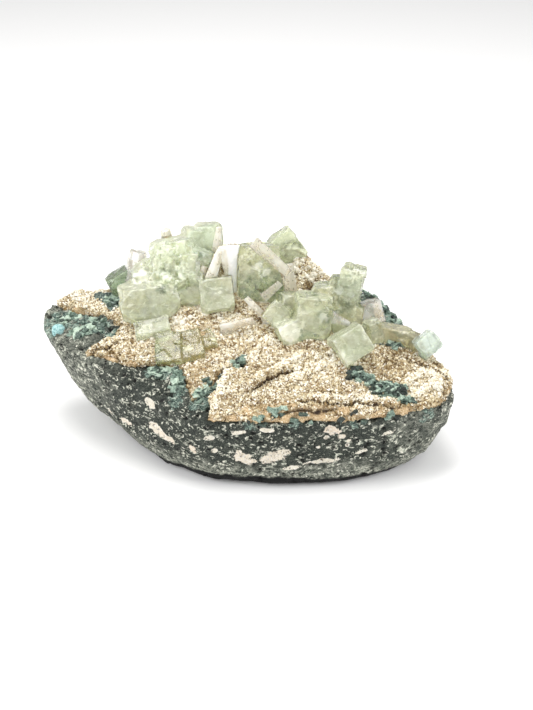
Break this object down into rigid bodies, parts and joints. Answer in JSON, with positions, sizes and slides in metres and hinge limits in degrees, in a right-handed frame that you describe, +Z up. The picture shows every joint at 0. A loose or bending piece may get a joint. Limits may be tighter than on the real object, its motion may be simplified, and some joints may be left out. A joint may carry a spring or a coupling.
{
  "type": "apophyllite crystal cluster on basalt matrix",
  "caption": "Boat-shaped dark basalt slab with a sugary tan druse on its sloping top, set with blocky pale green apophyllite crystals and thin pinkish-white stilbite blades.",
  "frame": {"origin": "bottom centre of the bounding box, on the surface that the slab rests on", "axes": "+X to the right along the slab's length, +Y from the low front edge to the high back edge, +Z up"},
  "size_m": [0.1563, 0.0857, 0.0741],
  "materials": {
    "basalt": "rough broken stone with pale amygdules and teal celadonite",
    "druse": "sugary sparkling micro-crystals",
    "apophyllite": "translucent pale green with frosted faces and inner veils",
    "dark_apophyllite": "darker green translucent crystal",
    "stilbite": "pearly pinkish white",
    "celadonite": "matt blue-green"
  },
  "bodies": {
    "root": {"basalt_matrix": "basalt", "druse_crust": "druse", "apophyllite_left_cluster": "apophyllite", "apophyllite_centre_cluster": "apophyllite", "apophyllite_back_crystal": "apophyllite", "apophyllite_right_cluster": "apophyllite", "apophyllite_tilted_cube": "apophyllite", "apophyllite_ridge": "apophyllite", "apophyllite_small_cube": "apophyllite", "apophyllite_dark_block": "dark_apophyllite", "apophyllite_flat_box": "apophyllite", "apophyllite_slab": "apophyllite", "stilbite_mass_left": "stilbite", "stilbite_wedge": "stilbite", "stilbite_blade_over": "stilbite", "stilbite_blade_upright": "stilbite", "stilbite_blade_striped": "stilbite", "stilbite_blade_diagonal": "stilbite", "stilbite_blade_lying": "stilbite", "stilbite_blade_short": "stilbite", "stilbite_blade_pale": "stilbite", "stilbite_wedge_right": "stilbite", "stilbite_mass_right": "stilbite", "stilbite_tip_back": "stilbite", "stilbite_knob_back": "stilbite", "celadonite_nodule": "celadonite"}
  },
  "joints": []
}
